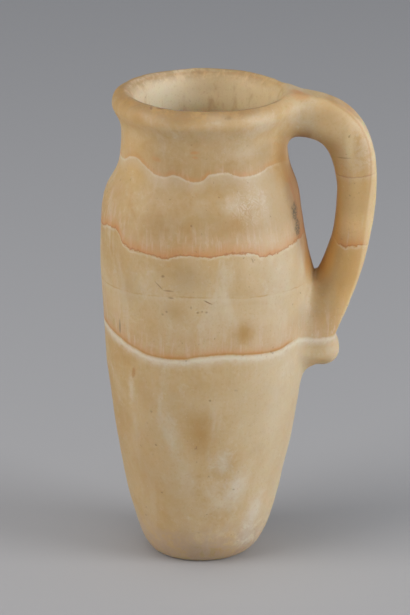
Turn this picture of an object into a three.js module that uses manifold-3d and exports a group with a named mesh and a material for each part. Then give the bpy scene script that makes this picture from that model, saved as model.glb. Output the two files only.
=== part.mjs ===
// A pitcher carved from one block of banded alabaster: a tall body that tapers to a small flat foot, a round
// shoulder, a short neck with a thick rolled rim, and a stout handle. The handle leaves the rim level with its
// top, turns down, and ends low on the body in a blunt lug. Stone, so it is all one solid, hollowed from the mouth.
// Millimetres, +Z up. The origin is on the resting face, under the middle of the body, and the handle is on +X.
import * as THREE from "three";
import { mergeVertices } from "three/addons/utils/BufferGeometryUtils.js";
import Module from "manifold-3d";

// Driving dimensions of the body
const height = 200; // resting face to the ridge of the rim
const footRadius = 19.6; // flat face that it stands on
const heelRadius = 25.8; // top of the worn, rounded edge round the foot
const heelHeight = 8;
const bellyRadius = 42.8; // widest line of the body
const neckRadius = 33.6; // narrowest line of the neck
const rimRadius = 37.6; // widest line of the rolled rim
const shoulderDrop = 44; // ridge of the rim down to where the shoulder turns in
const neckDrop = 19; // ridge of the rim down to the narrowest line
const rimDrop = 6.6; // ridge of the rim down to its widest line
const axisWander = 1.3; // how far the hand-carved body strays from a true axis

// Driving dimensions of the hollow
const bodyWall = 8;
const shoulderWall = 7;
const neckWall = 4.6;
const lipWidth = 8.2; // widest line of the rim in to the mouth
const ridgeInset = 4; // widest line of the rim in to its ridge
const floorThickness = 14;
const mouthOffset = 1.6; // the mouth is cut this far off centre, towards the handle

// Driving dimensions of the handle and its lug
const fingerGap = 12.2; // belly to the handle's inner face
const rootThickness = 20.6; // at the rim, seen from the side
const handleThickness = 16.8; // where it runs straight down
const tailThickness = 13.9; // where it sinks into the lug
const handleWidth = 17; // seen from the end
const rootFillet = 7; // under the handle, against the neck
const tailFillet = 11; // over the crotch, where the handle comes back to the body
const rootSpread = 9; // beside the handle, against the neck
const turnDrop = 40; // ridge of the rim down to where the handle runs straight down
const lugLevel = 88.3;
const lugReach = 14.2; // body to the lug's tip
const lugRadius = 7.4;
const lugWidth = 15.6;

// Faceting
const bodySides = 56;
const handleSides = 20;
const handleSteps = 36;
const lugSides = 20;
const arcSteps = 5;
const heelSteps = 4;
const overshoot = 1; // how far the cutting solid stands out of the mouth

const turnLevel = height - turnDrop;
const shoulderLevel = height - shoulderDrop;
const neckLevel = height - neckDrop;
const rimLevel = height - rimDrop;
const ridgeRadius = rimRadius - ridgeInset;
const mix = THREE.MathUtils.lerp;

// Value at a place along a row of [place, value] stations, on a smooth curve through them.
function along(stations, place) {
  const last = stations.length - 1;
  if (place <= stations[0][0]) return stations[0][1];
  if (place >= stations[last][0]) return stations[last][1];
  const i = stations.findIndex((station) => station[0] > place) - 1;
  const [x0, y0] = stations[i];
  const [x1, y1] = stations[i + 1];
  const slopeAt = (k) => {
    const [before, after] = [stations[Math.max(k - 1, 0)], stations[Math.min(k + 1, last)]];
    return (after[1] - before[1]) / (after[0] - before[0]);
  };
  const span = x1 - x0;
  const t = (place - x0) / span;
  const rise = t * t * (3 - 2 * t);
  const lead = t * (1 - t) * (1 - t) * span * slopeAt(i);
  const trail = t * t * (1 - t) * span * slopeAt(i + 1);
  return mix(y0, y1, rise) + lead - trail;
}

// Radius of the outside by level, from the heel to the widest line of the rim. The shares are the body's own
// proportions: how far up to the shoulder a station is, and how far its radius is from one named radius to the next.
const outside = [
  [heelHeight, heelRadius],
  ...[
    [0.09, 0.15],
    [0.19, 0.39],
    [0.31, 0.6],
    [0.41, 0.75],
    [0.53, 0.9],
    [0.65, 0.96],
    [0.81, 1],
  ].map(([up, full]) => [shoulderLevel * up, mix(heelRadius, bellyRadius, full)]),
  [shoulderLevel * 0.92, mix(bellyRadius, neckRadius, 0.1)],
  ...[
    [0, 0.28],
    [0.21, 0.48],
    [0.41, 0.74],
    [0.63, 0.9],
    [1, 1],
  ].map(([up, full]) => [mix(shoulderLevel, neckLevel, up), mix(bellyRadius, neckRadius, full)]),
  [mix(neckLevel, rimLevel, 0.42), mix(neckRadius, rimRadius, 0.13)],
  [mix(neckLevel, rimLevel, 0.69), mix(neckRadius, rimRadius, 0.46)],
  [rimLevel, rimRadius],
];
const outerRadius = (level) => along(outside, level);

// Thickness of the wall by level.
const walls = [
  [floorThickness, bodyWall],
  [shoulderLevel, shoulderWall],
  [neckLevel, neckWall],
  [rimLevel, lipWidth],
];

// Sideways place of the body's own middle by level. The foot is worn most on the handle's side.
const strays = [
  [0, -0.6],
  [heelHeight, -0.1],
  [height * 0.15, 0.2],
  [height * 0.4, 0.8],
  [height * 0.52, 0.8],
  [height * 0.64, 0.45],
  [height * 0.76, -0.55],
  [height * 0.85, 0.3],
  [height, 0],
];
const middleAt = (level) => axisWander * along(strays, level);

// Points round a quarter of an ellipse, from beside its centre to above it.
function quarterEllipse(centre, across, up) {
  return Array.from({ length: arcSteps }, (_, i) => {
    const angle = (Math.PI / 2) * ((i + 1) / arcSteps);
    return new THREE.Vector2(centre.x + across * Math.cos(angle), centre.y + up * Math.sin(angle));
  });
}

function outsideProfile() {
  const heel = new THREE.QuadraticBezierCurve(
    new THREE.Vector2(footRadius, 0),
    new THREE.Vector2(mix(footRadius, heelRadius, 0.37), heelHeight * 0.05),
    new THREE.Vector2(heelRadius, heelHeight),
  );
  const levels = outside.slice(1).flatMap(([level], i) => [(level + outside[i][0]) / 2, level]);
  return [
    new THREE.Vector2(0, 0),
    ...heel.getPoints(heelSteps),
    ...levels.map((level) => new THREE.Vector2(outerRadius(level), level)),
    ...quarterEllipse(new THREE.Vector2(ridgeRadius, rimLevel), ridgeInset, rimDrop),
    new THREE.Vector2(0, height),
  ];
}

function hollowProfile() {
  const mouthRadius = rimRadius - lipWidth;
  const bottomRise = bodyWall * 1.5;
  const bottomLevel = floorThickness + bottomRise;
  const bottomRadius = outerRadius(bottomLevel) - bodyWall;
  const shares = [0, 0.08, 0.18, 0.3, 0.45, 0.6, 0.74, 0.8, 0.85, 0.9, 0.95, 1];
  const levels = shares.map((share) => mix(bottomLevel, rimLevel, share));
  const lip = quarterEllipse(new THREE.Vector2(ridgeRadius, rimLevel), mouthRadius - ridgeRadius, rimDrop);
  const bottom = quarterEllipse(new THREE.Vector2(0, bottomLevel), bottomRadius, -bottomRise).reverse();
  return [
    ...bottom,
    ...levels.map((level) => new THREE.Vector2(outerRadius(level) - along(walls, level), level)),
    ...lip.slice(0, -1),
    new THREE.Vector2(ridgeRadius - 0.1 * ridgeInset, height + overshoot),
    new THREE.Vector2(0, height + overshoot),
  ];
}

// A turned form about the vertical axis, its rings moved sideways by level.
function turned(profile, sideways) {
  const geometry = new THREE.LatheGeometry(profile, bodySides).rotateX(Math.PI / 2);
  const place = geometry.getAttribute("position");
  for (let i = 0; i < place.count; i += 1) place.setX(i, place.getX(i) + sideways(place.getZ(i)));
  return geometry;
}

// The handle's middle line: level out of the rim, down past the belly, and in to the lug.
function handlePath() {
  const reach = bellyRadius + fingerGap + handleThickness / 2;
  const sunkRoot = new THREE.Vector2(neckRadius - neckWall / 2, height - rootThickness / 2);
  const root = new THREE.Vector2(neckRadius + rootFillet * 0.24, sunkRoot.y);
  const turn = new THREE.Vector2(reach, turnLevel);
  const tail = new THREE.Vector2(outerRadius(lugLevel) + lugReach * 0.4, lugLevel + lugRadius * 0.9);
  const sunkTail = new THREE.Vector2(outerRadius(lugLevel) + lugReach * 0.22, lugLevel);
  const path = new THREE.CurvePath();
  path.add(new THREE.LineCurve(sunkRoot, root));
  path.add(
    new THREE.CubicBezierCurve(
      root,
      new THREE.Vector2(mix(turn.x, root.x, 0.3), root.y),
      new THREE.Vector2(turn.x, mix(turn.y, root.y, 0.66)),
      turn,
    ),
  );
  path.add(
    new THREE.CubicBezierCurve(
      turn,
      new THREE.Vector2(turn.x, mix(turn.y, tail.y, 0.44)),
      new THREE.Vector2(mix(turn.x, tail.x, 0.32), mix(tail.y, turn.y, 0.51)),
      tail,
    ),
  );
  path.add(new THREE.LineCurve(tail, sunkTail));
  return path;
}

// How far a round fillet stands off one face, at a distance from the other.
function filletOff(radius, distance) {
  const inside = THREE.MathUtils.clamp(radius - distance, 0, radius);
  return radius - Math.sqrt(radius * radius - inside * inside);
}

// The handle is a capped cylinder bent along its path. Its outer side is squarer than its inner side, and its tail
// spreads where it lies against the body.
function handleGeometry() {
  const path = handlePath();
  const thickness = [
    [0, rootThickness],
    [0.23, rootThickness * 0.97],
    [0.41, handleThickness],
    [0.58, handleThickness * 0.95],
    [0.76, handleThickness],
    [0.94, tailThickness],
    [1, tailThickness * 0.75],
  ];
  const width = [
    [0, handleWidth * 1.15],
    [0.23, handleWidth * 1.08],
    [0.41, handleWidth],
    [0.76, handleWidth],
    [0.94, lugWidth],
    [1, lugWidth * 0.8],
  ];
  const tailSpread = [
    [0.66, 0],
    [0.8, 0.3],
    [0.92, 0.2],
    [1, 0],
  ];
  const outerPower = 0.8; // under 1, squarer than an ellipse
  const innerPower = 0.95;
  const squared = (value, power) => Math.sign(value) * Math.abs(value) ** power;
  const geometry = new THREE.CylinderGeometry(1, 1, 1, handleSides, handleSteps);
  const place = geometry.getAttribute("position");
  for (let i = 0; i < place.count; i += 1) {
    const share = THREE.MathUtils.clamp((1 - Math.cos(Math.PI * (place.getY(i) + 0.5))) / 2, 0, 1);
    const centre = path.getPointAt(share);
    const tangent = path.getTangentAt(share);
    const power = place.getX(i) > 0 ? outerPower : innerPower;
    const out = squared(place.getX(i), power);
    const side = squared(place.getZ(i), power);
    const fromNeck = share < 0.5 ? centre.x - neckRadius : rootFillet;
    const fromRoot = share < 0.5 ? centre.x - neckRadius + neckWall : rootSpread;
    const straight = along(thickness, share) / 2;
    const fromBelly = share > 0.5 ? centre.x - straight - outerRadius(centre.y) : tailFillet;
    const under = out < 0 ? filletOff(rootFillet, fromNeck) + filletOff(tailFillet, fromBelly) : 0;
    const halfThick = straight + under;
    const spread = 1 + along(tailSpread, share) * Math.max(0, -out);
    const halfWide = (along(width, share) / 2) * spread + filletOff(rootSpread, fromRoot);
    place.setXYZ(
      i,
      centre.x - tangent.y * out * halfThick,
      side * halfWide,
      centre.y + tangent.x * out * halfThick,
    );
  }
  return geometry;
}

// The lug is turned about its own level axis, with a spread root and a blunt end, and squeezed to its width.
function lugGeometry() {
  const body = outerRadius(lugLevel);
  const profile = [
    [0, -bodyWall * 0.7],
    [lugRadius * 1.25, -bodyWall * 0.7],
    [lugRadius * 1.14, lugReach * 0.05],
    [lugRadius * 1.03, lugReach * 0.25],
    [lugRadius, lugReach * 0.5],
    [lugRadius * 0.92, lugReach * 0.74],
    [lugRadius * 0.7, lugReach * 0.89],
    [lugRadius * 0.38, lugReach * 0.98],
    [0, lugReach],
  ].map(([radius, out]) => new THREE.Vector2(radius, body + out));
  return new THREE.LatheGeometry(profile, lugSides)
    .rotateZ(-Math.PI / 2)
    .scale(1, lugWidth / (2 * lugRadius), 1)
    .translate(middleAt(lugLevel), 0, lugLevel);
}

const wasm = await Module();
wasm.setup();

// A closed geometry as a solid: vertices merged by place, and faces that have collapsed to a line left out.
function solidOf(geometry) {
  const bare = new THREE.BufferGeometry().setAttribute("position", geometry.getAttribute("position").clone());
  bare.setIndex(geometry.index.clone());
  const merged = mergeVertices(bare, 1e-3);
  const corners = merged.index.array;
  const kept = [];
  for (let i = 0; i < corners.length; i += 3) {
    const [a, b, c] = corners.slice(i, i + 3);
    if (a !== b && b !== c && a !== c) kept.push(a, b, c);
  }
  return new wasm.Manifold(
    new wasm.Mesh({
      numProp: 3,
      vertProperties: merged.getAttribute("position").array,
      triVerts: new Uint32Array(kept),
    }),
  );
}

function geometryOf(solid) {
  const { vertProperties, triVerts } = solid.getMesh();
  const geometry = new THREE.BufferGeometry();
  geometry.setAttribute("position", new THREE.BufferAttribute(vertProperties, 3));
  geometry.setIndex(new THREE.BufferAttribute(triVerts, 1));
  geometry.computeVertexNormals();
  return geometry;
}

const block = solidOf(turned(outsideProfile(), middleAt))
  .add(solidOf(handleGeometry()))
  .add(solidOf(lugGeometry()));
const hollow = solidOf(turned(hollowProfile(), (level) => mouthOffset * (level / height)));

const alabaster = new THREE.MeshStandardMaterial({ color: 0xd6b98c, roughness: 0.42, metalness: 0 });
const pitcher = new THREE.Mesh(geometryOf(block.subtract(hollow)), alabaster);
pitcher.name = "pitcher";

const part = new THREE.Group();
part.add(pitcher);
export default part;
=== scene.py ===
import math

import bpy
import numpy as np
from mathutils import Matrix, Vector
from mathutils.bvhtree import BVHTree


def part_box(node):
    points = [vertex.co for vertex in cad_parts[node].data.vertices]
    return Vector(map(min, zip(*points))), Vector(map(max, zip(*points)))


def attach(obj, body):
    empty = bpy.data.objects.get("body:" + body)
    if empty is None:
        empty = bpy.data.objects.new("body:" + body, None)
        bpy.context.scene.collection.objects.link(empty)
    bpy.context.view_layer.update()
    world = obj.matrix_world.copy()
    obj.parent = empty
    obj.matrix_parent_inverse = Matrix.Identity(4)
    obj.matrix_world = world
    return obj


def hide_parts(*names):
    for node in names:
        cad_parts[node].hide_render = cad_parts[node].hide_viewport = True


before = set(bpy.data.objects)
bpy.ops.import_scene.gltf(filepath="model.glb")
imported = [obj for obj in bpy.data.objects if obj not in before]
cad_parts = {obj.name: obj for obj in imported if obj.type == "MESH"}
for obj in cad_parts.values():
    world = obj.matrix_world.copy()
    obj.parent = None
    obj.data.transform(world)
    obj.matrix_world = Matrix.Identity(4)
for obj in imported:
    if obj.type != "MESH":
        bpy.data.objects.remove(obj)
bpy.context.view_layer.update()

# The pitcher is made as one smooth form. Its walls are felt at the plain solid, and its handle and lug are
# made from the sizes below. It then gets an alabaster surface. Lengths are in metres, so they are written as
# millimetres times MM.
MM = 0.001
BOTTOM, TOP = 0.0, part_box("pitcher")[1].z

# Sizes of the handle and the lug, as in the plain solid
SHOULDER_DROP = 44 * MM
FINGER_GAP = 12.2 * MM
ROOT_THICKNESS = 20.6 * MM
GRIP_THICKNESS = 16.8 * MM
TAIL_THICKNESS = 13.9 * MM
GRIP_WIDTH = 17.5 * MM
TURN_DROP = 40 * MM
LUG_LEVEL = 88.3 * MM
LUG_REACH = 14.2 * MM
LUG_RADIUS = 7.4 * MM
LUG_WIDTH_SHARE = 1.06
LUG_PROUD = 0.8 * MM  # how much further the rounded lug reaches than the plain one
LUG_ROOT_DEPTH = 6 * MM  # how deep in the body the lug starts

# The handle's middle line: how far its root stands out of the neck and goes on into it, where its tail ends
# as shares of the lug's reach and radius, and how strongly its two curves are pulled at their ends
ROOT_STANDOFF = 1.7 * MM
ROOT_DEPTH = 3 * MM
TAIL_REACH, TAIL_DEPTH, TAIL_RISE = 0.4, 0.22, 0.9
ARCH_PULLS = (0.7, 0.66)
GRIP_PULLS = (0.44, 0.68, 0.51)

# The handle's section: how square its two sides are, where 2 is an ellipse, and half the width of a crease
OUTER_SQUARENESS, INNER_SQUARENESS = 2.7, 2.15
CREASE_SIDE = 1.2 * MM

# How blunt the lug's end is: more above, less below
LUG_BLUNTNESS, LUG_BLUNTNESS_LOSS = 2.6, 0.5

# Fineness
VOXEL = 1.25 * MM
CELL = 0.5 * MM
PROFILE_BLUR = 1.0 * MM
WALL_LEVELS = 420
GRID_MARGIN = 20 * MM
GRID_REACH = 70 * MM
CURVE_POINTS = 80
HANDLE_POINTS = 140
EASING_HALF = 8  # how many points to each side a row of sizes is eased over
PROBE = 0.05 * MM  # how far apart two points are felt to find a slope
LONGEST_STEP = 1.5 * MM
SETTLING_ROUNDS = 4

# Softness of the joins
UNDER_ROOT_SOFTNESS = 5 * MM
BESIDE_ROOT_SOFTNESS = 8 * MM
FLARE_SOFTNESS = 20 * MM
FLARE_OFFSET = 6 * MM
CROTCH_SOFTNESS = 1.5 * MM
UNDER_CROTCH_SOFTNESS = 11 * MM
LUG_SOFTNESS = 4 * MM
LIP_SOFTNESS = 1.2 * MM
LEVEL_TOP_SOFTNESS = 1.2 * MM
FLAT_SOFTNESS = 0.7 * MM

# Unevenness of the hand carving: (wavelength, height)
CARVING = ((42 * MM, 0.12 * MM), (19 * MM, 0.08 * MM), (8 * MM, 0.035 * MM))
CARVING_WAVES = 10
CARVING_SEED = 11
LIP_DIP = 0.9 * MM  # how much lower the lip stands in front than behind
SIDE_SWELL = 0.45 * MM  # how much further the body stands out beside the handle's gap

# Where these come in: each is a pair of places, the first without it and the second with all of it
CARVING_LEVELS = (0.2 * MM, 6 * MM)
DIP_DEPTHS = (8 * MM, -34 * MM)
DIP_LEVELS = (TOP - 22 * MM, TOP - 4 * MM)
SWELL_REACHES = (24 * MM, 38 * MM)
SWELL_LEVELS_BELOW = (118 * MM, 132 * MM)
SWELL_LEVELS_ABOVE = (188 * MM, 176 * MM)
BESIDE_ROOT = (2 * MM, 9 * MM)
BESIDE_CROTCH = (1.5 * MM, 7 * MM)
UNDER_CROTCH = (124 * MM, 108 * MM)
ROOT_LEVELS = (TOP - TURN_DROP - 20 * MM, TOP - TURN_DROP + 12 * MM)
CREST_START, CREST_END = (0.1, 0.2), (0.96, 0.84)

# How far round each point other stone is looked for, and how near the hollow's wall counts as inside
NOOK_REACH = 3 * MM
SHELTER_REACH = 11 * MM
HOLLOW_EDGE = (0.5 * MM, 2 * MM)


# Shape: the walls

def wall_profiles(node):
    """Radius and sideways middle of the outer wall and of the hollow by level, felt by rays at the solid."""
    tree = BVHTree.FromObject(node, bpy.context.evaluated_depsgraph_get())
    far = 1.0
    skin = 0.02 * MM
    levels = np.linspace(BOTTOM + skin, TOP - 2 * skin, WALL_LEVELS)

    def reach(start, way):
        return tree.ray_cast(Vector(start), Vector(way))[0]

    # The rays run a hair beside the middle plane, so that none of them slips along an edge between two faces.
    floor = reach((skin, skin, far), (0, 0, -1)).z
    outer, hollow = [], []
    for z in levels:
        left = reach((-far, skin, z), (1, 0, 0)).x
        radius = reach((skin, far, z), (0, -1, 0)).y
        outer.append((z, radius, left + radius))
        if z > floor + skin:
            low, high = reach((0, skin, z), (-1, 0, 0)).x, reach((0, skin, z), (1, 0, 0)).x
            hollow.append((z, (high - low) / 2, (high + low) / 2))
    return np.array(outer), np.array(hollow)


def distance_grid(outline, inside):
    """Signed distance to an outline of (radius, level) points on a grid, blurred to round its facets."""
    radii = np.arange(0, GRID_REACH, CELL)
    levels = np.arange(BOTTOM - GRID_MARGIN, TOP + GRID_MARGIN, CELL)
    r, z = np.meshgrid(radii, levels, indexing="ij")
    nearest = np.full(r.shape, np.inf)
    for (r0, z0), (r1, z1) in zip(outline[:-1], outline[1:]):
        length = max((r1 - r0) ** 2 + (z1 - z0) ** 2, 1e-14)
        share = np.clip(((r - r0) * (r1 - r0) + (z - z0) * (z1 - z0)) / length, 0, 1)
        gap = np.hypot(r - r0 - share * (r1 - r0), z - z0 - share * (z1 - z0))
        nearest = np.minimum(nearest, gap)
    signed = np.where(inside(r, z), -nearest, nearest)
    half = int(3 * PROFILE_BLUR / CELL)
    kernel = np.exp(-0.5 * (np.arange(-half, half + 1) * CELL / PROFILE_BLUR) ** 2)
    kernel /= kernel.sum()
    # Radii below zero mirror those above, so that the blur leaves no cone at the axis.
    padded = np.pad(signed, ((half, half), (half, half)), mode="reflect")
    padded = np.apply_along_axis(np.convolve, 0, padded, kernel, "same")
    padded = np.apply_along_axis(np.convolve, 1, padded, kernel, "same")
    return padded[half:-half, half:-half]


def look_up(grid, r, z):
    """Value of a distance grid at radius r and level z, between its cells."""
    u = np.clip(r / CELL, 0, grid.shape[0] - 1.001)
    v = np.clip((z - BOTTOM + GRID_MARGIN) / CELL, 0, grid.shape[1] - 1.001)
    i, j = u.astype(int), v.astype(int)
    fu, fv = u - i, v - j
    low = grid[i, j] * (1 - fu) + grid[i + 1, j] * fu
    high = grid[i, j + 1] * (1 - fu) + grid[i + 1, j + 1] * fu
    return low * (1 - fv) + high * fv


class Walls:
    """Distance to the outer wall as a filled form, and to the hollow."""

    def __init__(self, node):
        outer, hollow = wall_profiles(node)
        self.outer, self.hollow = outer, hollow
        floor, above = hollow[0, 0], TOP + 12 * MM
        outer_line = [(0, BOTTOM), *outer[:, [1, 0]], (outer[-1, 1], TOP), (0, TOP)]
        hollow_line = [(0, floor), *hollow[:, [1, 0]], (hollow[-1, 1], above), (0, above)]

        def in_outer(r, z):
            return (z > BOTTOM) & (z < TOP) & (r < np.interp(z, outer[:, 0], outer[:, 1]))

        def in_hollow(r, z):
            return (z > floor) & (z < above) & (r < np.interp(z, hollow[:, 0], hollow[:, 1]))

        self.outer_grid = distance_grid(outer_line, in_outer)
        self.hollow_grid = distance_grid(hollow_line, in_hollow)

    def radius(self, level):
        return float(np.interp(level, self.outer[:, 0], self.outer[:, 1]))

    def outside(self, p):
        middle = np.interp(p[:, 2], self.outer[:, 0], self.outer[:, 2])
        return look_up(self.outer_grid, np.hypot(p[:, 0] - middle, p[:, 1]), p[:, 2])

    def inside(self, p):
        middle = np.interp(p[:, 2], self.hollow[:, 0], self.hollow[:, 2])
        return look_up(self.hollow_grid, np.hypot(p[:, 0] - middle, p[:, 1]), p[:, 2])


# Shape: the handle and the lug

def bezier(a, b, c, d, samples):
    t = np.linspace(0, 1, samples)[:, None]
    return (1 - t) ** 3 * a + 3 * (1 - t) ** 2 * t * b + 3 * (1 - t) * t ** 2 * c + t ** 3 * d


def even(points, count):
    """The same line with its points at even distances, and how far along it each one is."""
    run = np.concatenate([[0], np.cumsum(np.hypot(*np.diff(points, axis=0).T))])
    along = np.linspace(0, run[-1], count)
    line = np.stack([np.interp(along, run, points[:, 0]), np.interp(along, run, points[:, 1])], 1)
    return line, along


class Handle:
    """Distance to the handle: a rounded section swept along a line in the plane of +X and +Z."""

    def __init__(self, walls):
        self.line, self.run = even(self.middle_line(walls), HANDLE_POINTS)
        self.tangent = np.gradient(self.line, axis=0)
        self.tangent /= np.linalg.norm(self.tangent, axis=1)[:, None]
        # Points out of the loop: up over the arch, and away from the body down the grip.
        self.outward = np.stack([-self.tangent[:, 1], self.tangent[:, 0]], 1)
        self.shape_section(self.run / self.run[-1])

    def middle_line(self, walls):
        """Points (x, z) from inside the neck, over the arch and down the grip, into the body at the lug."""
        belly = walls.outer[:, 1].max()
        in_neck = walls.outer[:, 0] > TOP - SHOULDER_DROP / 2
        neck = walls.outer[in_neck, 1].min()
        root_level = TOP - ROOT_THICKNESS / 2
        turn = np.array([belly + FINGER_GAP + GRIP_THICKNESS / 2, TOP - TURN_DROP])
        sunk_root = np.array([neck - ROOT_DEPTH, root_level])
        root = np.array([neck + ROOT_STANDOFF, root_level])
        tail_body = walls.radius(LUG_LEVEL)
        tail = np.array([tail_body + LUG_REACH * TAIL_REACH, LUG_LEVEL + LUG_RADIUS * TAIL_RISE])
        sunk_tail = np.array([tail_body + LUG_REACH * TAIL_DEPTH, LUG_LEVEL])
        down, up = turn - tail, root - turn
        from_root, to_turn = ARCH_PULLS
        from_turn, to_tail, to_tail_up = GRIP_PULLS
        arch = bezier(root, root - (up[0] * from_root, 0), turn + (0, up[1] * to_turn), turn, CURVE_POINTS)
        grip = bezier(turn, turn - (0, down[1] * from_turn),
                      tail + (down[0] * to_tail, down[1] * to_tail_up), tail, CURVE_POINTS)
        return np.concatenate([[sunk_root], arch, grip[1:], [sunk_tail]])

    def shape_section(self, share):
        """The half sizes of the section along the line, and the places of its flat, bevels and creases."""
        stations = [0, 0.23, 0.41, 0.58, 0.76, 0.94, 1]
        thick = [ROOT_THICKNESS, ROOT_THICKNESS * 0.95, GRIP_THICKNESS * 0.96, GRIP_THICKNESS * 0.95,
                 GRIP_THICKNESS, TAIL_THICKNESS, TAIL_THICKNESS * 0.75]
        wide = [1.1, 1.02, 0.98, 0.96, 1.0, 1.02, 0.8]
        half_thick = soft_row(share, stations, thick) / 2
        self.half_wide = soft_row(share, stations, wide) * GRIP_WIDTH / 2
        # The outer side stands out a little further over the arch, and the inner side is hollowed under it.
        more = soft_row(share, [0, 0.1, 0.22, 0.4, 0.52, 0.62], [0, 0.3, 0.9, 1.1, 0.5, 0])
        less = soft_row(share, [0, 0.05, 0.2, 0.3, 0.4, 0.5], [0.8, 0.8, 0.6, 0.3, 0.4, 0])
        self.half_out = half_thick + more * MM
        self.half_in = half_thick - less * MM
        # A flat is cut along the outer side, at this share of its height. It runs out down the grip.
        self.flat = soft_row(share, [0, 0.15, 0.4, 0.55, 0.7], [0.93, 0.9, 0.9, 0.94, 1.1]) * self.half_out
        # Over the turn a bevel is cut on each side of the flat, at this share of the distance to the corner.
        bevel = soft_row(share, [0.2, 0.3, 0.4, 0.52, 0.62], [1.3, 1.09, 1.06, 1.07, 1.3])
        self.bevel = bevel * (self.half_out + self.half_wide) / 2
        # The crease beside the flat lies at this share of the height. It sinks along the bevel, then rises.
        crease = [0.86, 0.8, 0.66, 0.5, 0.6, 0.8, 0.88]
        self.crease = soft_row(share, [0.1, 0.25, 0.36, 0.5, 0.6, 0.7, 0.9], crease) * self.half_out

    def at(self, place, row):
        return np.interp(place, self.run, row)

    def along(self, p):
        """How far along the line each point is, how far out of the loop, and how far past the line's ends."""
        flat = p[:, [0, 2]]
        i = ((flat[:, None, :] - self.line[None]) ** 2).sum(2).argmin(1)
        away = flat - self.line[i]
        step = self.run[i] + np.einsum("ij,ij->i", away, self.tangent[i])
        place = np.clip(step, 0, self.run[-1])
        return place, np.einsum("ij,ij->i", away, self.outward[i]), np.abs(step - place)

    def crest(self, p):
        """How far each point is out from the creases beside the flat, from 0 to 1. It ends above the lug."""
        place, out, _ = self.along(p)
        lift = rise(out - self.at(place, self.crease), -CREASE_SIDE, CREASE_SIDE)
        share = place / self.run[-1]
        return lift * rise(share, *CREST_START) * rise(share, *CREST_END)

    def distance(self, p):
        place, out, past = self.along(p)
        half_thick = np.where(out > 0, self.at(place, self.half_out), self.at(place, self.half_in))
        half_wide = self.at(place, self.half_wide)
        power = np.where(out > 0, OUTER_SQUARENESS, INNER_SQUARENESS)
        size = (np.abs(out / half_thick) ** power + np.abs(p[:, 1] / half_wide) ** power) ** (1 / power)
        size = np.maximum(size, 1e-3)
        section = np.hypot(out, p[:, 1]) * (1 - 1 / size) + past
        flattened = soft_max(section, out - self.at(place, self.flat), FLAT_SOFTNESS)
        corner = (out + np.abs(p[:, 1])) / math.sqrt(2) - self.at(place, self.bevel)
        return soft_max(flattened, corner, FLAT_SOFTNESS)


def soft_row(share, stations, values):
    """Values at stations, read all along a line and eased between them."""
    raw = np.interp(share, stations, values)
    kernel = np.hanning(2 * EASING_HALF + 1)
    kernel /= kernel.sum()
    return np.convolve(np.pad(raw, EASING_HALF, mode="edge"), kernel, "valid")


class Lug:
    """Distance to the blunt lug: a round-ended bar that stands level out of the body."""

    def __init__(self, walls):
        middle = float(np.interp(LUG_LEVEL, walls.outer[:, 0], walls.outer[:, 2]))
        self.end = walls.radius(LUG_LEVEL) + middle + LUG_REACH + LUG_PROUD - LUG_RADIUS
        self.start = walls.radius(LUG_LEVEL) - LUG_ROOT_DEPTH

    def distance(self, p):
        past = np.abs(p[:, 0] - np.clip(p[:, 0], self.start, self.end))
        round_it = np.hypot(p[:, 1] / LUG_WIDTH_SHARE, p[:, 2] - LUG_LEVEL)
        # Its end is blunt above and rounder below.
        blunt = LUG_BLUNTNESS - LUG_BLUNTNESS_LOSS * rise(LUG_LEVEL - p[:, 2], -2 * MM, 4 * MM)
        return (past ** blunt + round_it ** blunt) ** (1 / blunt) - LUG_RADIUS


# Shape: the whole stone

def rise(x, low, high):
    """0 at low, 1 at high, eased between them. low may be the larger one."""
    t = np.clip((x - low) / (high - low), 0, 1)
    return t * t * (3 - 2 * t)


def soft_min(a, b, softness):
    near = np.maximum(softness - np.abs(a - b), 0) / softness
    return np.minimum(a, b) - near * near * softness / 4


def soft_max(a, b, softness):
    return -soft_min(-a, -b, softness)


class Unevenness:
    """A smooth wavy field for the marks of hand carving, the same on every run."""

    def __init__(self):
        random = np.random.default_rng(CARVING_SEED)
        self.waves = []
        for wavelength, height in CARVING:
            ways = random.normal(size=(CARVING_WAVES, 3))
            ways /= np.linalg.norm(ways, axis=1)[:, None]
            stretch = random.uniform(0.8, 1.3, CARVING_WAVES)
            phases = random.uniform(0, 2 * math.pi, CARVING_WAVES)
            self.waves.append((ways * (2 * math.pi / wavelength * stretch)[:, None], phases, height))

    def at(self, p):
        total = np.zeros(len(p))
        for ways, phases, height in self.waves:
            total += height * np.sin(p @ ways.T + phases).sum(1) / math.sqrt(CARVING_WAVES / 2)
        return total * rise(p[:, 2], *CARVING_LEVELS)


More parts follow.
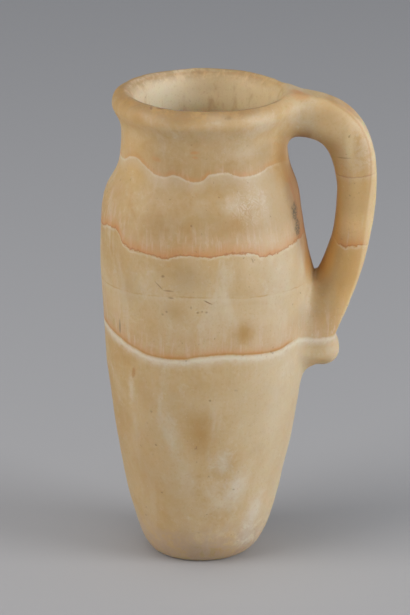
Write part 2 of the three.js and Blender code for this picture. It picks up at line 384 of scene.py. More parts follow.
class Stone:
    """Signed distance to the whole pitcher."""

    def __init__(self, node):
        self.walls = Walls(node)
        self.handle = Handle(self.walls)
        self.lug = Lug(self.walls)
        self.carving = Unevenness()
        self.handle_zone = self.walls.outer[:, 1].min()

    def distance(self, p):
        dip = LIP_DIP * rise(p[:, 1], *DIP_DEPTHS) * rise(p[:, 2], *DIP_LEVELS)
        p = p + dip[:, None] * (0, 0, 1)
        beside_gap = rise(p[:, 0], *SWELL_REACHES) * rise(p[:, 2], *SWELL_LEVELS_BELOW)
        solid = self.walls.outside(p) - SIDE_SWELL * beside_gap * rise(p[:, 2], *SWELL_LEVELS_ABOVE)
        near = (p[:, 0] > self.handle_zone) & (p[:, 2] > LUG_LEVEL - 25 * MM) & (np.abs(p[:, 1]) < 30 * MM)
        q = p[near]
        body, handle = solid[near], self.handle.distance(q)
        beside = rise(np.abs(q[:, 1]), *BESIDE_ROOT)
        softness = UNDER_ROOT_SOFTNESS + (BESIDE_ROOT_SOFTNESS - UNDER_ROOT_SOFTNESS) * beside
        root = soft_min(body, handle, softness)
        # Lower down the body swells towards the handle. The crotch is crisp, and under it the two melt
        # together.
        flared = soft_min(body, handle + FLARE_OFFSET, FLARE_SOFTNESS)
        under = rise(np.abs(q[:, 1]), *BESIDE_CROTCH) * rise(q[:, 2], *UNDER_CROTCH)
        softness = CROTCH_SOFTNESS + (UNDER_CROTCH_SOFTNESS - CROTCH_SOFTNESS) * under
        crotch = soft_min(flared, handle, softness)
        high = rise(q[:, 2], *ROOT_LEVELS)
        joined = crotch + (root - crotch) * high
        joined = soft_min(joined, self.lug.distance(q), LUG_SOFTNESS)
        solid[near] = soft_max(joined, q[:, 2] - TOP - 0.1 * MM, LEVEL_TOP_SOFTNESS)
        solid = solid + self.carving.at(p)
        return soft_max(solid, -self.walls.inside(p), LIP_SOFTNESS)

    def shelter(self, p, reach):
        """How closed in each point is: 0 on open faces, towards 1 where other stone stands near."""
        here = self.distance(p)
        way = np.stack([self.distance(p + PROBE * axis) - here for axis in np.eye(3)], 1)
        way /= np.linalg.norm(way, axis=1)[:, None]
        return 1 - np.clip(self.distance(p + reach * way) / reach, 0, 1)

    def settle(self, p, rounds):
        """Moves points onto the surface."""
        for _ in range(rounds):
            here = self.distance(p)
            slope = np.stack([(self.distance(p + PROBE * axis) - here) / PROBE for axis in np.eye(3)], 1)
            steep = np.maximum((slope ** 2).sum(1), 0.2)
            move = np.clip(here / steep, -LONGEST_STEP, LONGEST_STEP)
            p = p - move[:, None] * slope
        return p


def remeshed(node, name):
    """A copy of a solid with even, small faces."""
    piece = bpy.data.objects.new(name, node.data.copy())
    bpy.context.scene.collection.objects.link(piece)
    remesh = piece.modifiers.new("even faces", "REMESH")
    remesh.mode = "VOXEL"
    remesh.voxel_size = VOXEL
    mesh = bpy.data.meshes.new_from_object(piece.evaluated_get(bpy.context.evaluated_depsgraph_get()))
    piece.modifiers.clear()
    piece.data = mesh
    mesh.name = name
    return piece


def eased(p, edges, rounds):
    """Points moved towards their neighbours' middle, to even out the faces."""
    count = np.bincount(edges.ravel(), minlength=len(p))[:, None]
    for _ in range(rounds):
        total = np.zeros_like(p)
        np.add.at(total, edges[:, 0], p[edges[:, 1]])
        np.add.at(total, edges[:, 1], p[edges[:, 0]])
        p = p + 0.5 * (total / count - p)
    return p


def rows_of(items, name, width, kind=float):
    """One property of all of a mesh's items, as rows of numbers."""
    rows = np.empty(len(items) * width, kind)
    items.foreach_get(name, rows)
    return rows.reshape(-1, width)


def make_pitcher():
    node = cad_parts["pitcher"]
    piece = remeshed(node, "carved_pitcher")
    mesh = piece.data
    stone = Stone(node)
    p = rows_of(mesh.vertices, "co", 3)
    edges = rows_of(mesh.edges, "vertices", 2, np.int64)
    p = stone.settle(p, 3)
    for _ in range(SETTLING_ROUNDS):
        p = stone.settle(eased(p, edges, 2), 2)
    p[:, 2] = np.maximum(p[:, 2], BOTTOM)
    mesh.vertices.foreach_set("co", p.ravel())
    on_handle = p[:, 0] > stone.walls.outer[:, 1].max() - 3 * MM
    crest = np.zeros(len(p))
    crest[on_handle] = stone.handle.crest(p[on_handle])
    # nook and shelter say how closed in each point is. The alabaster paints shade and glow by them.
    fields = {
        "nook": stone.shelter(p, NOOK_REACH),
        "shelter": stone.shelter(p, SHELTER_REACH),
        "hollow": 1 - rise(np.abs(stone.walls.inside(p)), *HOLLOW_EDGE),
        "crest": crest,
    }
    for name, values in fields.items():
        mesh.attributes.new(name, "FLOAT", "POINT").data.foreach_set("value", values)
    mesh.shade_smooth()
    mesh.update()
    return piece


# Looks: helpers for node trees

class Tree:
    """A material's nodes, with one short method for each kind that is used."""

    def __init__(self, name):
        self.material = bpy.data.materials.new(name)
        self.material.use_nodes = True
        self.nodes = self.material.node_tree.nodes
        self.links = self.material.node_tree.links
        self.shader = self.nodes["Principled BSDF"]

    def add(self, kind, inputs, **settings):
        node = self.nodes.new(kind)
        for key, value in settings.items():
            setattr(node, key, value)
        for key, value in inputs.items():
            self.plug(node.inputs[key], value)
        return node

    def plug(self, socket, value):
        if isinstance(value, bpy.types.NodeSocket):
            self.links.new(value, socket)
        else:
            socket.default_value = value

    def math(self, operation, *values):
        return self.add("ShaderNodeMath", dict(enumerate(values)), operation=operation).outputs[0]

    def vector(self, operation, *values):
        return self.add("ShaderNodeVectorMath", dict(enumerate(values)), operation=operation).outputs[0]

    def moved(self, place, scale=(1, 1, 1), by=(0, 0, 0)):
        """A place scaled along its axes and then moved."""
        return self.add("ShaderNodeMapping", {"Vector": place, "Scale": scale, "Location": by}).outputs[0]

    def combine(self, x, y, z):
        return self.add("ShaderNodeCombineXYZ", {0: x, 1: y, 2: z}).outputs[0]

    def fade(self, value, low, high):
        """0 at low, 1 at high, eased between them. low may be the larger one."""
        inputs = {"Value": value, "From Min": low, "From Max": high}
        return self.add("ShaderNodeMapRange", inputs, interpolation_type="SMOOTHSTEP").outputs[0]

    def blend(self, share, a, b):
        return self.add("ShaderNodeMix", {0: share, 6: a, 7: b}, data_type="RGBA").outputs[2]

    def noise(self, place, size, detail=3.0, roughness=0.5, distortion=0.0):
        """Clouds of about the given size. detail adds finer ones, at the given roughness."""
        inputs = {"Vector": place, "Scale": 1 / size, "Detail": detail, "Roughness": roughness,
                  "Distortion": distortion}
        return self.add("ShaderNodeTexNoise", inputs).outputs[0]

    def attribute(self, name):
        return self.add("ShaderNodeAttribute", {}, attribute_name=name).outputs["Fac"]

    def curve(self, value, stations):
        """A smooth row of heights over a row of places, both in metres. Returns the height at value."""
        places, heights = zip(*stations)
        span, drop = places[-1] - places[0], max(heights) - min(heights)
        share = self.math("DIVIDE", self.math("SUBTRACT", value, places[0]), span)
        node = self.add("ShaderNodeFloatCurve", {"Value": share})
        points = node.mapping.curves[0].points
        points[0].location = (0, (heights[0] - min(heights)) / drop)
        points[1].location = (1, (heights[-1] - min(heights)) / drop)
        for place, height in stations[1:-1]:
            points.new((place - places[0]) / span, (height - min(heights)) / drop)
        node.mapping.update()
        return self.math("MULTIPLY_ADD", node.outputs[0], drop, min(heights))


def srgb(red, green, blue):
    """A colour given as 0 to 255 screen values, as the linear values that a shader takes."""
    def linear(c):
        c /= 255
        return c / 12.92 if c <= 0.04045 else ((c + 0.055) / 1.055) ** 2.4
    return (linear(red), linear(green), linear(blue), 1)


# Looks: the alabaster

CREAM = srgb(214, 190, 148)
HONEY = srgb(205, 174, 122)
GOLD = srgb(190, 148, 82)
AMBER = srgb(182, 122, 50)
MILK = srgb(224, 212, 188)
PALE = srgb(240, 224, 184)
WHITE = srgb(234, 224, 204)
PINK = srgb(210, 168, 128)
ORANGE = srgb(212, 144, 78)
RUST = srgb(170, 106, 62)
BROWN = srgb(134, 94, 58)
GREY = srgb(118, 108, 86)
DUST = srgb(196, 172, 150)
STRAW = srgb(224, 184, 116)
WHEAT = srgb(238, 206, 148)
APRICOT = srgb(228, 186, 112)
CHALK = srgb(226, 222, 210)
IVORY = srgb(250, 240, 216)
TAN = srgb(162, 130, 84)
SOOT = srgb(84, 76, 62)

# The strata are wavy surfaces in the stone. Each is a row of (x, level) in millimetres, from the left of the
# body across its front to the handle.
NECK_STRATUM = ((-44, 173), (-33, 172.8), (-28, 176), (-24.8, 174.8), (-21.4, 172.6), (-16, 170.8),
                (-11.9, 171.9), (-2.7, 169.6), (3, 172.6), (8.6, 173.2), (13, 171.8), (17.5, 170.8),
                (22, 171), (28.8, 172.8), (36, 170), (50, 165.3), (60, 164.4), (72, 165.8))
SHOULDER_STRATUM = ((-44, 144), (-40.6, 145.2), (-36.2, 147), (-34.4, 145.8), (-30.2, 141), (-24, 140.3),
                    (-14.7, 139.5), (-8.6, 141.3), (1.7, 140.8), (9.7, 141.5), (20.3, 140.8), (24, 138.7),
                    (34, 139.3), (40, 140.4), (53, 138.2), (61, 134.8), (72, 138))
FAINT_STRATUM = ((-44, 121), (-24.4, 122.3), (-2.3, 123.6), (18, 122.4), (33, 121.4), (44, 119.5), (60, 117),
                 (72, 118))
WAIST_STRATUM = ((-44, 104.5), (-40, 103), (-34.5, 100.9), (-27, 98.2), (-18, 96.5), (-10, 96.7), (-1, 98.3),
                 (7, 98.9), (15, 98.3), (26, 97.1), (31, 96.8), (38, 98.3), (42, 97.6), (52, 96.6), (60, 98),
                 (72, 99))

# Single marks in the order of painting: (colour, centre, size, lean, strength). Centre and size are (x, y, z)
# in millimetres, and the lean is how far a mark goes towards +X for each millimetre up.
MARKS = (
    # Clouds, worn places, painted highlights and painted sheen
    (MILK, (-14, -35, 66), (7, 6, 20), -0.2, 0.5),
    (MILK, (-6, -32, 42), (8, 7, 16), -0.25, 0.4),
    (MILK, (-29.6, -28, 79), (2.2, 9, 10), 0, 0.6),
    (AMBER, (-28.4, -29, 87), (1.0, 5, 3.6), 0.1, 0.5),
    (CHALK, (14, -31, 37), (9, 7, 11), 0.1, 0.5),
    (CHALK, (8.5, -37, 49), (7, 8, 9), 0, 0.4),
    (MILK, (7.5, -31, 29), (7, 8, 6), 0, 0.4),
    (CHALK, (21, -23, 22), (6, 10, 17), 0.3, 0.55),
    (MILK, (33, -20, 88), (9, 14, 10), 0, 0.4),
    (MILK, (40, -12, 112), (9, 12, 13), 0, 0.4),
    (GOLD, (-24, -26, 42), (7, 12, 20), -0.2, 0.35),
    (GOLD, (-24, -32, 78), (5, 10, 12), 0, 0.3),
    # This milky patch and the next are partly painted sheen, on the lit right side of the body.
    (MILK, (32, -27, 128), (11, 12, 20), 0, 0.4),
    (MILK, (31, -27, 75), (9, 12, 24), 0, 0.3),
    (MILK, (16, -31, 181), (13, 9, 6), 0, 0.35),
    (MILK, (12, -38, 160), (11, 9, 6), 0.3, 0.35),
    (MILK, (34.5, -5, 176), (5, 9, 10), 0, 0.45),
    (CHALK, (25, -28, 192), (14, 10, 7), 0, 0.3),
    # A painted highlight on the handle's root
    (CHALK, (39, -15, 192), (11, 10, 8), 0, 0.2),
    (GOLD, (31, -13, 172), (10, 15, 16), 0, 0.75),
    (BROWN, (33, -14, 176), (6, 8, 12), 0, 0.3),
    (TAN, (-10, -34, 196.5), (16, 8, 4), 0, 0.45),
    (MILK, (56, -6, 89), (9, 10, 10), 0, 0.45),
    (TAN, (14, -34, 199), (22, 9, 3.5), 0, 0.5),
    # A painted highlight on the lip's front roll
    (CHALK, (6, -37, 196.5), (8, 7, 5.5), 0, 0.18),
    (TAN, (10.7, -36, 197), (2, 3, 1.2), 0, 0.5),
    (GOLD, (-27, -27, 194.5), (6, 7, 3.5), 0, 0.5),
    (BROWN, (-17, -28, 199.3), (2.2, 4, 0.6), 0.3, 0.6),
    (BROWN, (-20.8, -27, 199), (0.8, 4, 0.7), 0, 0.5),
    (GREY, (0, 33, 200), (26, 9, 6), 0, 0.2),
    (TAN, (3, 29, 194), (16, 9, 5), 0, 0.25),
    (TAN, (0, -34, 200), (20, 9, 4), 0, 0.2),
    (ORANGE, (41, -6, 199.5), (7, 7, 4), 0, 0.55),
    (ORANGE, (40, -3, 200), (5.0, 5, 1.8), 0, 0.5),
    (TAN, (52, -8, 191), (11, 9, 8), 0, 0.3),
    (PALE, (60.5, -8, 178), (3.5, 9, 14), 0, 0.45),
    (TAN, (50.5, -9, 112), (8, 10, 14), 0, 0.45),
    (TAN, (24, -22, 179), (9, 9, 7), 0, 0.25),
    (TAN, (-6, -42, 131), (13, 8, 10), 0, 0.25),
    (TAN, (-31, -29, 124), (9, 13, 13), 0, 0.22),
    (PINK, (-38, -18, 164), (8, 14, 12), 0, 0.4),
    (TAN, (-37, -20, 164), (9, 14, 12), 0, 0.15),
    (CHALK, (21, -36, 161), (12, 10, 11), 0, 0.2),
    (TAN, (40, -16, 107), (8, 12, 9), 0, 0.2),
    (GOLD, (50, -8, 83.5), (10, 10, 4.5), 0, 0.5),
    (PALE, (-28, -20, 185), (6, 12, 7), 0, 0.25),
    # Stains and golden patches
    (ORANGE, (-3.3, -33, 182), (2.6, 3, 1.0), 0.6, 0.4),
    (ORANGE, (-3.0, -33, 180), (1.8, 3, 0.8), -0.4, 0.4),
    (ORANGE, (-19, -29, 177.8), (3.2, 4, 1.6), -0.3, 0.3),
    (GOLD, (5.6, -40, 168), (4.9, 4, 1.5), 0.1, 0.55),
    (CHALK, (18, -19, 12), (9, 10, 9), 0, 0.5),
    (TAN, (2, -24, 6), (14, 8, 5), 0, 0.3),
    (WHITE, (12, -38, 163), (9, 8, 4), 0.3, 0.3),
    (GOLD, (16.9, -38.9, 106.9), (8, 6, 8), 0, 0.8),
    (GOLD, (13.5, -38.6, 152.3), (10, 6, 6), 0, 0.5),
    (GOLD, (-0.7, -38.3, 62.9), (8, 6, 19), -0.05, 0.7),
    (GOLD, (-11, -40, 117), (8, 6, 7), 0, 0.45),
    (GREY, (-3.2, -26, 8), (6, 6, 5.5), 0, 0.25),
    (GREY, (-34, -23.7, 105.3), (0.6, 2, 4.2), 0, 0.5),
    # Scratches and specks
    (BROWN, (-4.6, -41.5, 153.3), (0.7, 2, 0.7), 0, 0.6),
    (BROWN, (-13.2, -38, 168.3), (0.7, 2, 0.7), 0, 0.5),
    (BROWN, (57.5, -8, 172.7), (5, 3, 0.4), 0, 0.4),
    (BROWN, (2.2, -42.7, 121.5), (0.8, 3, 1.2), -1.7, 0.75),
    (BROWN, (-18, -38.7, 127.6), (0.5, 3, 2.2), -1.0, 0.5),
    (BROWN, (-13.8, -40.2, 125.6), (3.0, 3, 0.5), 0, 0.45),
    (BROWN, (-12.9, -40.6, 122.7), (1.6, 3, 0.5), 0, 0.5),
    (BROWN, (-16.1, -39.6, 131.6), (0.9, 2, 0.8), 0, 0.55),
    (BROWN, (-2.0, -42.7, 117.2), (0.8, 2, 0.8), 0, 0.5),
    (BROWN, (-0.2, -42.7, 117.6), (0.6, 2, 0.6), 0, 0.4),
    (BROWN, (1.6, -42.7, 117.3), (0.7, 2, 0.6), 0, 0.4),
    (BROWN, (-4.7, -42.4, 119.2), (0.5, 2, 0.9), 0, 0.35),
    (BROWN, (-14.7, -40, 116.5), (0.7, 2, 0.7), 0, 0.4),
    (BROWN, (-16.4, -39.4, 115.1), (0.8, 2, 0.8), 0, 0.4),
    (BROWN, (3.0, -40.7, 78.6), (0.7, 2, 0.7), 0, 0.5),
    (BROWN, (-24, -19, 20), (0.8, 2, 0.8), 0, 0.5),
    (BROWN, (-17, -29, 34), (0.7, 2, 0.6), 0, 0.5),
    (BROWN, (12.8, -31, 36.5), (0.8, 2, 0.6), 0, 0.45),
    (BROWN, (-1.6, -27, 16.5), (0.9, 3, 1.0), 0, 0.6),
)
# A sooty patch beside the handle, above the shoulder's line: (centre, size)
SOOT_MARKS = (((38.0, -15, 152), (2.6, 5, 5)), ((38.9, -14, 145), (2.4, 5, 5)))
# A net of hair cracks on the shoulder, in front of the handle
CRACKS_CENTRE, CRACKS_SIZE = (21, -36, 160), (15, 14, 13)
CRACK_CELL = 3.4 * MM


class Alabaster(Tree):
    """Banded alabaster: clouded honey stone, four strata, the marks of age, and painted shade, glow,
    highlights and sheen.
    """

    def __init__(self):
        super().__init__("alabaster")
        self.place = self.add("ShaderNodeTexCoord", {}).outputs["Object"]
        self.x, self.y, self.z = self.add("ShaderNodeSeparateXYZ", {0: self.place}).outputs
        self.fibres = self.streaks(1.5 * MM, 0.1, 4.0, 0.6)
        self.grain = self.noise(self.place, 0.9 * MM, 4.0, 0.65)
        self.mottle = self.noise(self.place, 5.5 * MM, 6.0, 0.68, 0.4)
        self.speckle = self.noise(self.place, 2.4 * MM, 4.0, 0.6, 0.6)
        self.add_clouds()
        self.add_strata()
        self.add_age_and_painted_light()
        self.finish_surface()

    def tint(self, tone, mask, strength):
        """Paints a tone over the colour so far, where the mask is 1."""
        self.colour = self.blend(self.math("MULTIPLY", mask, strength), self.colour, tone)

    def both(self, first, *others):
        for other in others:
            first = self.math("MULTIPLY", first, other)
        return first

    def by_x(self, low, high):
        """0 at low, 1 at high, in millimetres along X. by_y and by_z are the same along Y and Z."""
        return self.fade(self.x, low * MM, high * MM)

    def by_y(self, low, high):
        return self.fade(self.y, low * MM, high * MM)

    def by_z(self, low, high):
        return self.fade(self.z, low * MM, high * MM)

    def streaks(self, width, upright, detail, roughness):
        """Noise drawn out along the height of the stone."""
        return self.noise(self.moved(self.place, (1, 1, upright)), width, detail, roughness, 0.5)

    def add_clouds(self):
        """Slow drifts from cream to honey and gold, with milky wisps drawn out upright."""
        drift = self.noise(self.place, 46 * MM, 3.0, 0.55, 0.6)
        self.colour = self.blend(self.fade(drift, 0.36, 0.64), CREAM, HONEY)
        self.tint(GOLD, self.fade(self.noise(self.place, 24 * MM, 3.0, 0.5, 0.5), 0.5, 0.75), 0.35)
        self.tint(MILK, self.fade(self.streaks(13 * MM, 0.35, 4.0, 0.55), 0.5, 0.72), 0.5)
        self.tint(GOLD, self.fade(self.mottle, 0.52, 0.75), 0.3)
        self.tint(MILK, self.fade(self.mottle, 0.46, 0.28), 0.3)
        self.tint(MILK, self.fade(self.fibres, 0.5, 0.68), 0.08)
        self.tint(GOLD, self.fade(self.speckle, 0.5, 0.66), 0.08)
        self.tint(MILK, self.fade(self.speckle, 0.5, 0.36), 0.08)
        # The body is milkier towards the handle, partly as painted sheen, and more golden low on the other
        # side. The handle is warmer.
        self.tint(MILK, self.both(self.by_x(8, 30), self.by_x(54, 38), self.by_z(176, 164)), 0.38)
        self.tint(GOLD, self.both(self.by_x(0, -22), self.by_z(90, 50)), 0.3)
        self.tint(GOLD, self.both(self.by_x(10, -12), self.by_z(128, 150),
                                  self.fade(self.mottle, 0.36, 0.62)), 0.2)
        self.tint(STRAW, self.both(self.by_x(42, 55), self.by_z(96, 116), self.by_z(186, 158)), 0.55)
        # A wheat tint on the grip's inner half at mid height: partly the handle's colour, partly painted
        # light where it is shaded.
        self.tint(WHEAT, self.both(self.by_x(50, 53), self.by_x(69, 62),
                                   self.by_z(134, 148), self.by_z(178, 164)), 0.8)
        self.tint(STRAW, self.both(self.by_x(43, 50), self.by_z(150, 180)), 0.25)
        self.tint(GOLD, self.both(self.by_x(42, 56), self.by_z(106, 122), self.by_z(142, 128)), 0.4)
        self.tint(STRAW, self.both(self.by_x(-16, -28), self.by_z(160, 172), self.by_z(198, 188)), 0.5)
        self.tint(TAN, self.both(self.by_z(142, 152), self.by_z(190, 172), self.by_x(-30, -16)), 0.3)
        self.tint(MILK, self.both(self.by_x(50, 66), self.by_z(160, 172),
                                  self.fade(self.mottle, 0.4, 0.56)), 0.4)

    def height_over(self, stations, waver, jag, tooth):
        """Height above one stratum. The stations hold on the front, and the back wavers more. The jags are as
        high as jag and as wide as tooth. All three sizes are in millimetres."""
        level = self.curve(self.x, [(x * MM, z * MM) for x, z in stations])
        slow = self.math("SUBTRACT", self.noise(self.place, 26 * MM, 2.0), 0.5)
        behind = self.by_y(-12, 20)
        level = self.math("MULTIPLY_ADD", self.both(slow, behind), waver * MM, level)
        quick = self.math("SUBTRACT", self.noise(self.place, tooth * MM, 4.0, 0.7), 0.5)
        level = self.math("MULTIPLY_ADD", quick, jag * MM, level)
        return self.math("SUBTRACT", self.z, level)

    def near(self, height, below, above, raised=0.0):
        """1 on a line along a stratum, fading to 0 at the two distances from it, all in millimetres."""
        if raised:
            height = self.math("SUBTRACT", height, raised * MM)
        return self.both(self.fade(height, -below * MM, 0.0), self.fade(height, above * MM, 0.0))

    def add_strata(self):
        neck = self.height_over(NECK_STRATUM, 14, 1.5, 3)
        shoulder = self.height_over(SHOULDER_STRATUM, 14, 4.0, 3.6)
        faint = self.height_over(FAINT_STRATUM, 10, 1.2, 4)
        waist = self.height_over(WAIST_STRATUM, 14, 1.0, 4)

        # Over each stratum the stone is flushed, with upright fibres in it.
        thread = self.fade(self.fibres, 0.3, 0.62)
        pale_thread = self.fade(self.fibres, 0.5, 0.66)
        for height, reach, strength in ((neck, 6, 0.25), (shoulder, 16, 0.5), (waist, 18, 0.45)):
            flush = self.near(height, 0.3, reach)
            self.tint(PINK, self.both(flush, thread), strength)
            self.tint(MILK, self.both(flush, pale_thread), strength * 0.8)

        # The lines come and go along their length.
        along = self.noise(self.moved(self.place, (1, 1, 0.3)), 9 * MM, 3.0, 0.6)
        self.strong = self.fade(along, 0.36, 0.6)
        faded = self.fade(along, 0.62, 0.4)
        on_handle = self.by_x(46, 50)
        on_body = self.by_x(50, 46)
        self.tint(MILK, self.both(self.near(neck, 6, 0.5), on_body), 0.35)
        self.tint(WHITE, self.both(self.near(neck, 1.2, 0.7), on_body), 0.15)
        self.tint(WHITE, self.both(self.near(neck, 1.0, 0.5), on_body, faded), 0.3)
        self.tint(ORANGE, self.both(self.near(neck, 0.5, 2.6, 0.7), self.strong, on_body), 0.35)
        self.tint(RUST, self.both(self.near(neck, 0.4, 0.6), on_handle), 0.55)
        self.tint(MILK, self.both(self.near(neck, 3.0, 0.3), on_handle), 0.2)

        self.tint(WHITE, self.both(self.near(shoulder, 0.8, 0.6, -0.8), faded), 0.35)
        self.tint(WHITE, self.near(shoulder, 1.4, 0.8, -0.8), 0.12)
        self.tint(ORANGE, self.near(shoulder, 0.4, 5.5), 0.45)
        self.tint(ORANGE, self.both(self.near(shoulder, 0.4, 2.2), self.strong), 0.5)
        self.tint(RUST, self.near(shoulder, 0.35, 0.6), 0.5)

        before_handle = self.by_x(45, 36)
        self.tint(GOLD, self.both(self.near(faint, 0.4, 0.5), faded, before_handle), 0.5)
        self.tint(MILK, self.both(self.near(faint, 2.4, 0.3, -0.6), before_handle), 0.2)

        before_lug = self.by_x(39, 34)
        scallop = self.math("SUBTRACT", self.noise(self.place, 2.6 * MM, 3.0, 0.6), 0.5)
        scalloped = self.math("MULTIPLY_ADD", scallop, 3.0 * MM, waist)
        self.tint(MILK, self.near(scalloped, 3.4, 2.4, -2.4), 0.5)
        self.tint(WHITE, self.near(scalloped, 1.6, 1.9, -2.0), 0.45)
        self.tint(WHITE, self.near(waist, 1.0, 1.6, -1.6), 0.5)
        self.tint(ORANGE, self.both(self.near(waist, 0.5, 4.0), before_lug), 0.35)
        self.tint(ORANGE, self.both(self.near(waist, 0.6, 1.5), before_lug, self.strong), 0.6)
        self.tint(GOLD, self.both(self.near(waist, 0.5, 0.9), before_lug), 0.6)

    def spot(self, centre, size, lean=0.0, ragged=0.35):
        """1 in the middle of a spot, fading to 0 at its ragged edge. Centre and size are in millimetres."""
        away = self.vector("SUBTRACT", self.place, tuple(c * MM for c in centre))
        if lean:
            tilt = self.add("ShaderNodeVectorMath", {0: away, 1: (0, 0, lean)}, operation="DOT_PRODUCT")
            away = self.vector("SUBTRACT", away, self.combine(tilt.outputs["Value"], 0, 0))
        away = self.vector("MULTIPLY", away, tuple(1 / (s * MM) for s in size))
        length = self.add("ShaderNodeVectorMath", {0: away}, operation="LENGTH").outputs["Value"]
        # A large spot is soft, with a coarse torn edge, and a small one is crisp, with a fine frayed edge.
        large = max(size) > 5
        tear, core = (self.torn, 0.0) if large else (self.frayed, 0.35)
        return self.fade(self.math("MULTIPLY_ADD", tear, ragged * 2, length), 1.0, core)

    def add_age_and_painted_light(self):
        # Besides the marks of age, this paints shade in closed-in places, light inside the mouth, glow on the
        # grip and highlights.
        self.frayed = self.math("SUBTRACT", self.noise(self.place, 1.6 * MM, 3.0, 0.65), 0.5)
        self.torn = self.math("MULTIPLY_ADD", self.mottle, 1.7, -0.85)
        # Inside, the stone is painted pale as painted light, where little light reaches, brightest on the
        # left where light falls in. It is warmer towards the handle, a painted glow through the wall, with
        # golden streaks.
        hollow = self.attribute("hollow")
        self.tint(PALE, hollow, 0.85)
        self.tint(IVORY, self.both(hollow, self.by_x(10, -22)), 0.95)
        self.tint(GOLD, self.both(hollow, self.by_x(4, 30)), 0.2)
        self.tint(GOLD, self.both(hollow, self.fade(self.streaks(5 * MM, 0.3, 4.0, 0.6), 0.5, 0.7)), 0.4)
        # The closed-in places are painted amber: painted shade, partly grime. The grip's inner side is
        # painted apricot, a painted warm glow through the stone.
        shelter = self.attribute("shelter")
        nook = self.attribute("nook")
        # From the lug's top to under the crotch, the painted shade and glow are mostly left off.
        shade_free_band = self.both(self.by_z(91, 96), self.by_z(130, 118))
        shade_share = self.math("MULTIPLY_ADD", shade_free_band, -0.8, 1.0)
        on_grip = self.by_x(46, 52)
        self.tint(AMBER, self.both(self.fade(shelter, 0.2, 0.75), shade_share,
                                   self.math("MULTIPLY_ADD", on_grip, -0.85, 1.0)), 0.75)
        self.tint(APRICOT, self.both(self.fade(shelter, 0.1, 0.6), on_grip, shade_share), 0.75)
        self.tint(AMBER, self.both(self.fade(nook, 0.15, 0.6), shade_share), 0.3)
        # Beside the gap the body is darker, in a brown strip with a rusty edge.
        aside = self.math("MULTIPLY_ADD", self.math("SUBTRACT", self.mottle, 0.5), 8 * MM,
                          self.math("ABSOLUTE", self.y))
        beside_gap = self.both(self.by_x(31, 35), self.by_x(46, 43),
                               self.by_z(124, 146), self.by_z(188, 176))
        strip = self.both(beside_gap, self.fade(aside, 24 * MM, 15 * MM), self.fade(aside, 9 * MM, 12 * MM))
        self.tint(BROWN, strip, 0.5)
        self.tint(BROWN, self.both(beside_gap, self.fade(aside, 13 * MM, 9 * MM)), 0.62)
        self.tint(AMBER, self.both(beside_gap, self.fade(aside, 13 * MM, 9 * MM)), 0.3)
        rusty = self.both(beside_gap, self.fade(aside, 15 * MM, 13 * MM), self.fade(aside, 10 * MM, 12 * MM))
        self.tint(RUST, rusty, 0.45)
        # The lip's top is tinted gold, and tan in clouds, away from the handle.
        lip = self.fade(self.math("MULTIPLY_ADD", self.mottle, 5 * MM, self.z), 196 * MM, 202 * MM)
        self.tint(GOLD, self.both(lip, self.by_x(44, 30)), 0.35)
        self.tint(TAN, self.both(lip, self.fade(self.mottle, 0.66, 0.4), self.by_x(34, 22)), 0.6)
        # A brown line runs along the inner edge of the lip, in front: painted shadow where the lip meets the
        # dark inside, with some wear.
        edge = self.both(self.fade(hollow, 0.1, 0.4), self.fade(hollow, 0.95, 0.6), self.by_y(-8, -18))
        self.tint(BROWN, self.both(edge, self.by_z(194, 197)), 0.5)
        # The flat along the outside of the handle is paler, between two golden creases.
        crest = self.attribute("crest")
        self.tint(PALE, self.both(self.fade(crest, 0.3, 1.0), self.by_z(194, 184)), 0.45)
        self.tint(ORANGE, self.both(self.fade(crest, 0.4, 1.0), self.by_z(184, 193)), 0.4)
        self.tint(AMBER, self.both(self.fade(crest, 0.1, 0.4), self.fade(crest, 0.8, 0.4),
                                   self.by_z(148, 166)), 0.3)
        self.tint(GOLD, self.both(self.by_z(184, 191), self.by_x(-18, -30)), 0.15)
        for tone, centre, size, lean, strength in MARKS:
            self.tint(tone, self.spot(centre, size, lean), strength)
        for centre, size in SOOT_MARKS:
            patch = self.spot(centre, size, 0.0, 0.5)
            self.tint(GREY, patch, 0.5)
            self.tint(SOOT, self.both(patch, self.fade(self.grain, 0.44, 0.56)), 0.8)
        # The cracks run between cells whose edges are shaken, golden with a pale line beside them.
        aside = self.math("MULTIPLY", self.torn, 1.6 * MM)
        upward = self.math("MULTIPLY", self.frayed, 2.5 * MM)
        shaken = self.moved(self.place, by=self.combine(aside, 0, upward))
        cells = self.add("ShaderNodeTexVoronoi", {"Vector": shaken, "Scale": 1 / CRACK_CELL},
                         feature="DISTANCE_TO_EDGE").outputs["Distance"]
        cracked = self.spot(CRACKS_CENTRE, CRACKS_SIZE)
        self.tint(AMBER, self.both(self.fade(cells, 0.06, 0.01), cracked, self.strong), 0.3)
        self.tint(WHITE, self.both(self.fade(cells, 0.03, 0.09), self.fade(cells, 0.16, 0.09), cracked), 0.25)
        # Fine dark specks and pale flecks, in clusters, and a dusty foot, darker towards the bottom
        cluster = self.fade(self.noise(self.place, 15 * MM, 2.0), 0.45, 0.65)
        self.specks = self.fade(self.noise(self.place, 1.9 * MM, 2.0, 0.5), 0.68, 0.76)
        self.tint(BROWN, self.both(self.specks, cluster), 0.45)
        self.tint(WHITE, self.both(self.fade(self.grain, 0.6, 0.72), self.fade(self.mottle, 0.5, 0.4)), 0.35)
        self.tint(GOLD, self.fade(self.grain, 0.46, 0.3), 0.25)
        foot = self.fade(self.math("MULTIPLY_ADD", self.mottle, 12 * MM, self.z), 17 * MM, 6 * MM)
        self.tint(GREY, foot, 0.2)
        self.tint(DUST, self.both(self.by_z(24, 8), self.fade(self.mottle, 0.4, 0.54)), 0.65)
        self.tint(BROWN, self.both(self.by_z(13, 2), self.fade(self.mottle, 0.42, 0.62)), 0.2)

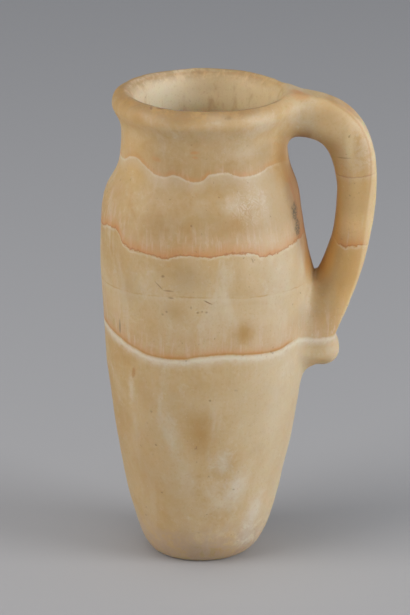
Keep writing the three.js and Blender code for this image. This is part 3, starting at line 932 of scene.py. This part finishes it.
    def finish_surface(self):
        """Satin, a little rougher where it is milky, with fine pitting."""
        height = self.math("MULTIPLY_ADD", self.grain, 0.5, self.math("MULTIPLY", self.fibres, 0.4))
        height = self.math("MULTIPLY_ADD", self.specks, -0.8, height)
        height = self.math("MULTIPLY_ADD", self.mottle, 1.2, height)
        bump = self.add("ShaderNodeBump", {"Height": height, "Strength": 0.35, "Distance": 0.15 * MM})
        rough = self.add("ShaderNodeMapRange", {"Value": self.mottle, "To Min": 0.4, "To Max": 0.62})
        self.plug(self.shader.inputs["Base Color"], self.colour)
        self.plug(self.shader.inputs["Roughness"], rough.outputs[0])
        self.plug(self.shader.inputs["Normal"], bump.outputs[0])
        self.shader.inputs["IOR"].default_value = 1.52
        self.shader.inputs["Subsurface Weight"].default_value = 0.6
        self.shader.inputs["Subsurface Radius"].default_value = (1.0, 0.55, 0.28)
        self.shader.inputs["Subsurface Scale"].default_value = 8 * MM


# Looks: the studio. Each light is (name, place, size, watts, colour), and all look at the pitcher's middle.
LIGHTS = (
    ("key", (1.65, -0.7, 0.6), 1.1, 21, (1.0, 0.98, 0.95)),
    ("above", (-0.2, -0.3, 1.8), 1.0, 5, (1.0, 0.96, 0.9)),
    ("fill", (-1.4, -0.7, 0.8), 1.3, 14, (1.0, 0.94, 0.87)),
)
LIT_POINT = (0, 0, 0.11)
FLOOR_REACH = 6.0


def make_floor():
    mesh = bpy.data.meshes.new("studio_floor")
    reach = FLOOR_REACH
    corners = [(-reach, -reach, 0), (reach, -reach, 0), (reach, reach, 0), (-reach, reach, 0)]
    mesh.from_pydata(corners, [], [(0, 1, 2, 3)])
    floor = bpy.data.objects.new("studio_floor", mesh)
    bpy.context.scene.collection.objects.link(floor)
    tree = Tree("pale_floor")
    tree.shader.inputs["Base Color"].default_value = srgb(190, 192, 197)
    tree.shader.inputs["Roughness"].default_value = 0.8
    mesh.materials.append(tree.material)


def aim(thing, target):
    thing.rotation_euler = (Vector(target) - thing.location).to_track_quat("-Z", "Y").to_euler()


def make_light(name, place, size, watts, colour):
    light = bpy.data.lights.new(name, "AREA")
    light.shape = "DISK"
    light.size = size
    light.energy = watts
    light.color = colour
    thing = bpy.data.objects.new(name, light)
    thing.location = place
    bpy.context.scene.collection.objects.link(thing)
    aim(thing, LIT_POINT)


def make_studio():
    for light in LIGHTS:
        make_light(*light)
    world = bpy.data.worlds.new("studio")
    world.use_nodes = True
    background = world.node_tree.nodes["Background"]
    background.inputs["Color"].default_value = (0.62, 0.64, 0.68, 1)
    background.inputs["Strength"].default_value = 0.35
    bpy.context.scene.world = world
    bpy.context.scene.view_settings.view_transform = "Standard"


def make_camera():
    """The photograph's view: from in front, about 1.6 m away, looking down 18 degrees, with a long lens."""
    aim_x, aim_z = 0.975 * MM, 105.7 * MM
    camera = bpy.data.cameras.new("camera")
    camera.sensor_fit = "VERTICAL"
    camera.sensor_height = 24
    # The fitted focal length as a share of the picture's height, both in the photograph's pixels
    focal_share = 4039.41 / 615
    camera.lens = camera.sensor_height * focal_share
    camera.clip_end = 50
    thing = bpy.data.objects.new("camera", camera)
    thing.location = (aim_x, -1.604, 0.6216)
    bpy.context.scene.collection.objects.link(thing)
    aim(thing, (aim_x, 0, aim_z))
    bpy.context.scene.camera = thing


make_camera()
pitcher = make_pitcher()
pitcher.data.materials.clear()
pitcher.data.materials.append(Alabaster().material)
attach(pitcher, "root")
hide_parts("pitcher")
make_floor()
make_studio()
